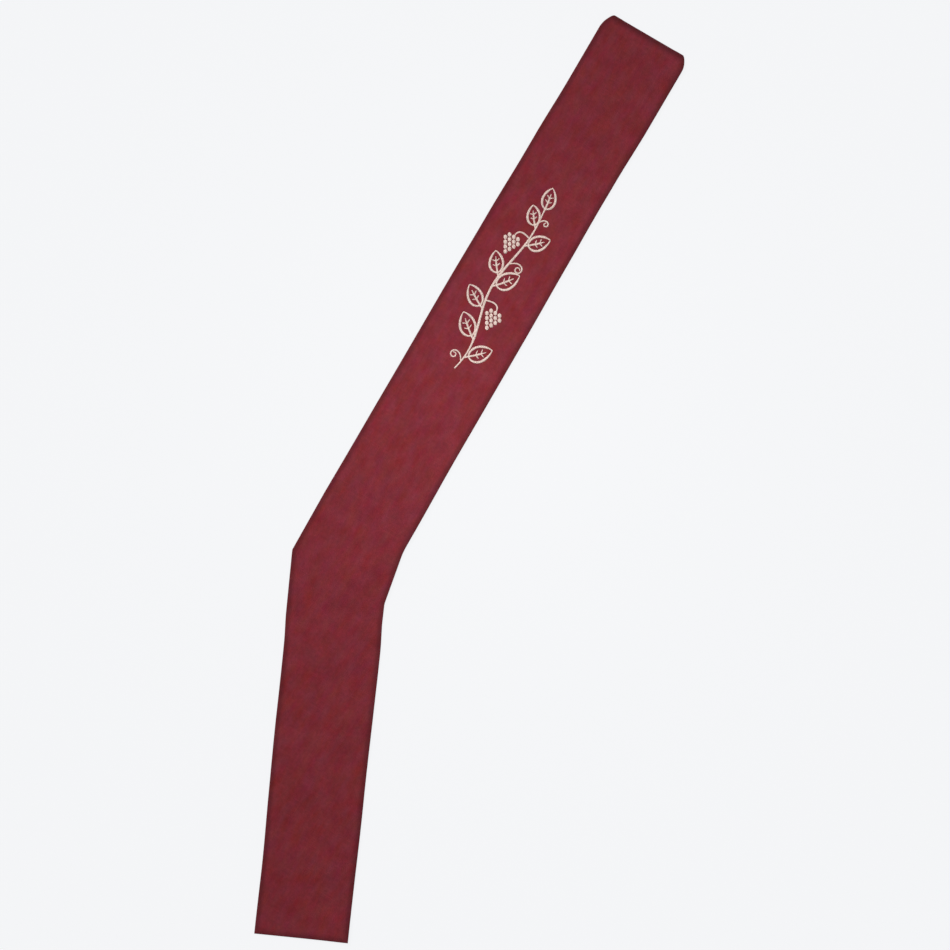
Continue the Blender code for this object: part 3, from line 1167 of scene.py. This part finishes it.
    def strokes(self) -> dict[str, list[Stroke]]:
        """Every stroke of the spray.

        Returns:
            The strokes of each piece, by the piece's name.
        """
        stem = [self.tapered(self.stem(np.linspace(0, 1, 160)), self.line_half_width, 0.6, 0.6)]
        stalks, grapes = zip(*[self.bunch_strokes(bunch) for bunch in self.bunches])
        stem += [stroke for group in stalks for stroke in group]
        stem += [self.tendril_stroke(tendril) for tendril in self.tendrils]
        leaves = [stroke for leaf in self.leaves for stroke in self.leaf_strokes(leaf)]
        rounds = [stroke for group in grapes for stroke in group]
        return {"vine_stem_thread": stem, "vine_leaf_thread": leaves, "grape_thread": rounds}

    def on_band(self, places: np.ndarray) -> tuple[np.ndarray, np.ndarray]:
        """Turns the spray's own (up, right) into the band's (along, across)."""
        return self.centre_along - places[..., 0], self.centre_across + places[..., 1]


@dataclass(frozen=True)
class SatinStitch:
    """Satin stitch: threads laid side by side across each line, over a low padding.

    Each thread is a thin closed tube that arches over the padding, and dips into the cloth at both ends. The
    crown is that of a line of the usual half width. The padding's share and rise are shares of the line's
    half width and of the crown. The draw is how far the stitches pull the cloth down: a share of it, more or
    less by its unevenness, whose pair is a share and a pitch. Rows past half the spray's length aren't drawn.
    """

    spray: VineSpray
    band: ClothBand
    pitch: float = 0.46 * MM
    thread_radius: float = 0.25 * MM
    thread_flatness: float = 0.8
    slant: float = float(np.radians(12))
    slant_spread: float = 0.03
    reach_spread: tuple[float, float] = (-0.10 * MM, 0.12 * MM)
    crown: float = 0.55 * MM
    usual_half: float = 1.3 * MM
    crown_range: tuple[float, float] = (0.45, 1.25)
    dip: float = 0.14 * MM
    pad_pitch: float = 1.2 * MM
    pad_share: float = 0.86
    pad_rise: float = 0.8
    pad_drop: float = 0.10 * MM
    pad_depth: float = 0.45 * MM
    draw: float = 0.25 * MM
    draw_step: float = 1.0 * MM
    draw_reach: float = 2.2 * MM
    draw_share: float = 0.75
    draw_unevenness: tuple[float, float] = (0.45, 5 * MM)
    half_spray: float = 0.16
    stations_across: int = 6
    sides: int = 5

    def lay(self, places: np.ndarray, lift: np.ndarray) -> np.ndarray:
        """Lays points of the spray over the cloth.

        Args:
            places: the spray's own places, (..., 2).
            lift: each one's height over the cloth's outer face.

        Returns:
            The points, (..., 3).
        """
        along, across = self.spray.on_band(places)
        flat = self.band.plan(along, across, self.band.cut.shift())
        height = self.band.top(along, across) + lift
        return np.concatenate([flat, height[..., None]], -1)

    def crowns(self, halves: np.ndarray) -> np.ndarray:
        """How high the stitches stand over the cloth: less on a narrow line and more on a wide one."""
        return self.crown * np.clip(halves / self.usual_half, *self.crown_range)

    def threads(self, name: str, strokes: list[Stroke]) -> bpy.types.Object:
        """Every thread of some strokes, as one piece.

        A thread's middle crosses the line at its place, turned by the slant. At a share w of half its reach
        it stands crown times (1 - |w| to the power 2.6) over the cloth, less a little at its ends, and a ring
        of points round it gives it its thickness.

        Args:
            name: the piece's name.
            strokes: the lines to stitch.

        Returns:
            The piece.
        """
        parts = [stroke.stations(self.pitch) for stroke in strokes]
        places, ways, halves = (np.concatenate([part[i] for part in parts]) for i in range(3))
        rng = np.random.default_rng(SEED + len(places))
        halves = halves + rng.uniform(*self.reach_spread, len(halves))
        angle = self.slant + rng.normal(0, self.slant_spread, len(halves))
        up, right = ways.T
        cos, sin = np.cos(angle), np.sin(angle)
        cross = np.stack([-right * cos - up * sin, up * cos - right * sin], 1)
        beside = np.stack([cross[:, 1], -cross[:, 0]], 1)
        w = np.linspace(-1, 1, self.stations_across)
        round_thread = 2 * np.pi * np.arange(self.sides) / self.sides
        arch = self.crowns(halves)[:, None] * (1 - np.abs(w) ** 2.6) - self.dip * np.abs(w) ** 6
        middle = places[:, None, :] + cross[:, None, :] * (halves[:, None] * w)[..., None]
        aside = self.thread_radius * np.cos(round_thread)
        points = middle[:, :, None, :] + beside[:, None, None, :] * aside[None, None, :, None]
        lift = arch[:, :, None] + self.thread_radius * self.thread_flatness * np.sin(round_thread)
        laid = self.lay(points, lift)
        thing = add_mesh(name, laid.reshape(-1, 3), self.tube_faces(len(places)))
        tone = np.broadcast_to(rng.uniform(0, 1, len(places))[:, None, None], lift.shape)
        set_attribute(thing, "tone", tone)
        return thing

    def tube_faces(self, count: int) -> list[np.ndarray]:
        """Faces of many closed tubes: quads along each, and a polygon at both ends.

        Args:
            count: how many tubes there are.

        Returns:
            The quads, the first ends and the last ends.
        """
        numbers = np.arange(count * self.stations_across * self.sides)
        rings = numbers.reshape(count, self.stations_across, self.sides)
        here, after = rings[:, :-1], rings[:, 1:]
        corners = [here, after, np.roll(after, -1, 2), np.roll(here, -1, 2)]
        quads = np.stack(corners, -1).reshape(-1, 4)
        return [quads, rings[:, 0], rings[:, -1, ::-1]]

    def padding(self, name: str, strokes: list[Stroke]) -> bpy.types.Object:
        """The padding under some strokes: a low closed ridge along each line, just under its threads.

        Across the line its top is its rise times the crown times (1 - |w| squared), less its drop. Its
        underside lies in the cloth.

        Args:
            name: the piece's name.
            strokes: the lines to pad.

        Returns:
            The piece.
        """
        w = np.linspace(-1, 1, 6)
        points, faces, start = [], [], 0
        for stroke in strokes:
            places, ways, halves = stroke.stations(self.pad_pitch)
            cross = np.stack([-ways[:, 1], ways[:, 0]], 1)
            reach = np.concatenate([w, w[-2:0:-1]])
            dome = self.pad_rise * self.crowns(halves)[:, None] * (1 - w ** 2) - self.pad_drop
            under = np.full((len(places), len(w) - 2), -self.pad_depth)
            aside = self.pad_share * halves[:, None] * reach
            ring = places[:, None, :] + cross[:, None, :] * aside[..., None]
            points.append(self.lay(ring, np.concatenate([dome, under], 1)).reshape(-1, 3))
            size = len(reach)
            quads = start + ring_faces(len(places), size)
            ends = start + np.arange(size)
            faces.append((quads, np.array([ends, (ends + (len(places) - 1) * size)[::-1]])))
            start += len(places) * size
        grouped = [np.concatenate([pair[i] for pair in faces]) for i in (0, 1)]
        thing = add_mesh(name, np.concatenate(points), grouped)
        set_attribute(thing, "tone", np.zeros(len(thing.data.vertices)))
        return thing

    def pucker(self, strokes: list[Stroke]) -> np.ndarray:
        """How far the stitches draw the cloth's outer face down, for each row and column of the band.

        It is about the draw under a line, deeper and shallower in turn along it, and dies away from the
        line's edge as a bell curve.

        Args:
            strokes: the lines that are stitched.

        Returns:
            The depth, (rows, columns).
        """
        rows = self.band.rows()["along"]
        width = np.linalg.norm(np.subtract(*self.band.cut.edges(np.maximum(rows, 0))), axis=1)
        across = (self.band.columns[None, :] - 0.5) * width[:, None]
        drawn = np.zeros(across.shape)
        near = np.flatnonzero(np.abs(rows - self.spray.centre_along) < self.half_spray)
        parts = [stroke.stations(self.draw_step) for stroke in strokes]
        places = np.concatenate([part[0] for part in parts])
        halves = np.concatenate([part[2] for part in parts])
        line_along, line_across = self.spray.on_band(places)
        amount, pitch = self.draw_unevenness
        for row in near:
            away = np.hypot(rows[row] - line_along[None, :], across[row][:, None] - line_across[None, :])
            outside = np.maximum((away - halves[None, :]).min(axis=1), 0)
            uneven = ripples(np.full_like(outside, rows[row]), across[row], pitch, SEED + 5)
            fall = np.exp(-(outside / self.draw_reach) ** 2)
            drawn[row] = self.draw * (self.draw_share + amount * uneven) * fall
        return drawn


@dataclass(frozen=True)
class Studio:
    """Plain pale floor, soft studio light from above, and a camera that looks straight down."""

    frame_pixels: float = 950.0
    metres_per_pixel: float = 1.39 * MM
    cloth_rise: float = 4.0 * MM
    object_middle: tuple[float, float] = (469.25, 479.10)
    key_place: tuple[float, float, float] = (0.02, 0.11, 0.50)
    key_size: float = 0.30
    key_power: float = 1.04
    window_way: tuple[float, float, float] = (-0.50, 0.75, 0.90)
    window_spread: float = 28.0
    window_strength: float = 1.85
    horizon: tuple[float, float] = (0.14, 0.34)
    horizon_strength: float = 0.985
    room_strength: float = 0.30
    floor_half: float = 15.0
    floor_height: float = -0.2 * MM
    paper: str = "f7f8fa"
    paper_albedo: float = 0.06
    paper_glow: float = 0.925
    lens: float = 85.0
    sensor: float = 36.0

    def place(self, pixel: tuple[float, float]) -> tuple[float, float]:
        """X and Y on the floor under a pixel of the frame, from the pixel at the origin and the scale."""
        return ((pixel[0] - self.object_middle[0]) * self.metres_per_pixel,
                (self.object_middle[1] - pixel[1]) * self.metres_per_pixel)

    def camera(self) -> None:
        """The camera, at the height from which its frame spans the photograph's width at the cloth's face."""
        data = bpy.data.cameras.new("camera")
        data.lens, data.sensor_width = self.lens, self.sensor
        camera = bpy.data.objects.new("camera", data)
        width = self.frame_pixels * self.metres_per_pixel
        height = width * self.lens / self.sensor + self.cloth_rise
        camera.location = (*self.place((self.frame_pixels / 2,) * 2), height)
        data.clip_end = 50.0
        bpy.context.scene.collection.objects.link(camera)
        bpy.context.scene.camera = camera

    def key(self) -> None:
        """A soft square light above the brightest spot, which stays out of the camera's sight."""
        data = bpy.data.lights.new("key", "AREA")
        data.size, data.energy = self.key_size, self.key_power
        lamp = bpy.data.objects.new("key", data)
        lamp.location = self.key_place
        lamp.visible_camera = False
        bpy.context.scene.collection.objects.link(lamp)

    def window(self) -> None:
        """Broad even light from the upper left, which gives creases and stitches their relief."""
        data = bpy.data.lights.new("window", "SUN")
        data.angle, data.energy = float(np.radians(self.window_spread)), self.window_strength
        lamp = bpy.data.objects.new("window", data)
        lamp.rotation_euler = Vector(self.window_way).to_track_quat("Z", "Y").to_euler()
        bpy.context.scene.collection.objects.link(lamp)

    def room(self) -> None:
        """Pale surroundings: as bright as the floor near the horizon, and dimmer from a third of the way up.

        The world's colour follows only the height of the direction that is looked in.
        """
        world = bpy.data.worlds.new("pale_room")
        world.use_nodes = True
        tree = world.node_tree
        way = add_node(tree, "TexCoord").outputs["Generated"]
        height = add_node(tree, "SeparateXYZ", {"Vector": way}).outputs["Z"]
        low, high = self.horizon
        rise = {"Value": height, "From Min": low, "From Max": high}
        glow = {"To Min": self.horizon_strength, "To Max": self.room_strength}
        strength = add_node(tree, "MapRange", {**rise, **glow})
        background = tree.nodes["Background"]
        background.inputs["Color"].default_value = linear(self.paper)
        tree.links.new(strength.outputs[0], background.inputs["Strength"])
        bpy.context.scene.world = world

    def floor(self) -> None:
        """A pale, softly lit paper floor, that takes only a faint shadow."""
        mesh = bpy.data.meshes.new("floor")
        half, height = self.floor_half, self.floor_height
        corners = [(x * half, y * half, height) for x, y in ((-1, -1), (1, -1), (1, 1), (-1, 1))]
        mesh.from_pydata(corners, [], [(0, 1, 2, 3)])
        floor = bpy.data.objects.new("floor", mesh)
        bpy.context.scene.collection.objects.link(floor)
        material, _, shader = new_material("matt_white_paper")
        shader.inputs["Base Color"].default_value = (*(self.paper_albedo,) * 3, 1)
        shader.inputs["Roughness"].default_value = 1.0
        shader.inputs["Specular IOR Level"].default_value = 0.0
        shader.inputs["Emission Color"].default_value = linear(self.paper)
        shader.inputs["Emission Strength"].default_value = self.paper_glow
        mesh.materials.append(material)
        floor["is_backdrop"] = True

    def build(self) -> None:
        """Floor, lights, surroundings and camera."""
        self.floor()
        self.key()
        self.window()
        self.room()
        self.camera()
        bpy.context.scene.view_settings.view_transform = "Standard"


# The bands' usual width, and the distances from their edges at which columns lie close. The hidden back band
# has fewer. Then the front band's troughs and ridges: by the fold, on the diagonal, at the hip and below it.
USUAL_WIDTH = 0.133
FRONT_EDGE_MM = (0, 0.12, 0.4, 0.8, 1.3, 1.9, 2.7, 4.2, 6.2, 8.4, 10.2, 11.6, 13.0, 14.6, 17.0, 20.0)
BACK_EDGE_MM = (0, 0.12, 0.4, 0.8, 1.3, 1.9, 2.7, 5.0, 8.5, 11.6, 14.6, 19.0)
FRONT_CREASES = (
    Crease(0.072, +0.010, 0.070, 0.007, 12, -0.00022),
    Crease(0.150, -0.030, 0.050, 0.009, -22, 0.00035),
    Crease(0.575, +0.020, 0.062, 0.010, 18, -0.00030),
    Crease(0.640, -0.028, 0.048, 0.008, -14, 0.00040),
    Crease(0.705, +0.034, 0.044, 0.011, 9, 0.00045),
    Crease(0.790, -0.022, 0.052, 0.009, 24, -0.00030),
    Crease(0.838, +0.046, 0.034, 0.010, -30, 0.00055),
    Crease(0.882, +0.012, 0.048, 0.006, 3, -0.00036),
    Crease(0.915, +0.004, 0.072, 0.012, -4, -0.00034),
    Crease(0.948, -0.020, 0.060, 0.009, 8, 0.00050),
    Crease(1.035, +0.026, 0.046, 0.010, -12, 0.00034),
    Crease(1.120, -0.014, 0.066, 0.012, 15, -0.00028),
    Crease(1.215, +0.030, 0.050, 0.009, -8, 0.00036),
    Crease(1.300, -0.024, 0.056, 0.011, 6, -0.00026),
)


def columns(edge_mm: tuple[float, ...], step: float, width: float) -> np.ndarray:
    """Shares of the width at which a band's faces have their columns, the same from both edges.

    Args:
        edge_mm: distances from the edge in millimetres, where the columns lie close.
        step: the distance between the columns further in.
        width: the band's usual width.

    Returns:
        The shares, from 0 to 1.
    """
    edge = MM * np.array(edge_mm)
    inner = np.linspace(edge[-1], width / 2, int((width / 2 - edge[-1]) / step) + 1)[1:]
    half = np.concatenate([edge, inner]) / width
    return np.concatenate([half, 1 - half[-2::-1]])


def main() -> None:
    """Builds the bands, the embroidery and the studio in order."""
    logging.basicConfig(level=logging.INFO, format="%(name)s: %(message)s")
    cut = StoleCut()
    front = ClothBand(
        cut,
        Side.FRONT,
        middle=3.05 * MM,
        fold_centre=3.2 * MM,
        columns=columns(FRONT_EDGE_MM, 2.1 * MM, USUAL_WIDTH),
        spans=((0.0045, 0.245, 0.0032), (0.245, 0.552, 0.0019), (0.552, 1.371, 0.0032)),
        creases=FRONT_CREASES,
    )
    back = ClothBand(
        cut,
        Side.BACK,
        middle=0.87 * MM,
        fold_centre=2.9 * MM,
        columns=columns(BACK_EDGE_MM, 5.0 * MM, USUAL_WIDTH),
        spans=((0.0045, 0.030, 0.0030), (0.030, 1.366, 0.0060)),
        inset=0.7 * MM,
        hem_short=2.0 * MM,
    )
    spray = VineSpray()
    stitch = SatinStitch(spray, front)
    strokes = spray.strokes()
    every_stroke = [stroke for group in strokes.values() for stroke in group]
    wool, floss = WovenWool(), RayonFloss().make("ivory_rayon_floss")
    threads = [stitch.threads(name, group) for name, group in strokes.items()]
    threads.append(stitch.padding("thread_padding", every_stroke))
    for piece in threads:
        piece.data.materials.append(floss)
        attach(piece, "root")
    front_cloth = front.build("front_cloth", stitch.pucker(every_stroke))
    back_cloth = back.build("back_cloth")
    for piece, band, node, rests in (
        (front_cloth, front, "front_band", ["back_cloth"]),
        (back_cloth, back, "back_band", []),
    ):
        piece.data.materials.append(wool.make(f"woven_wool_{node}", grain=cut.diagonal_lean))
        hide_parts(node)
        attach(piece, "root")
        band.flat_area()
    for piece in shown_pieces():
        LOG.info("%s: %d faces", piece.name, len(piece.data.polygons))
    Studio().build()


if __name__ == "__main__":
    main()
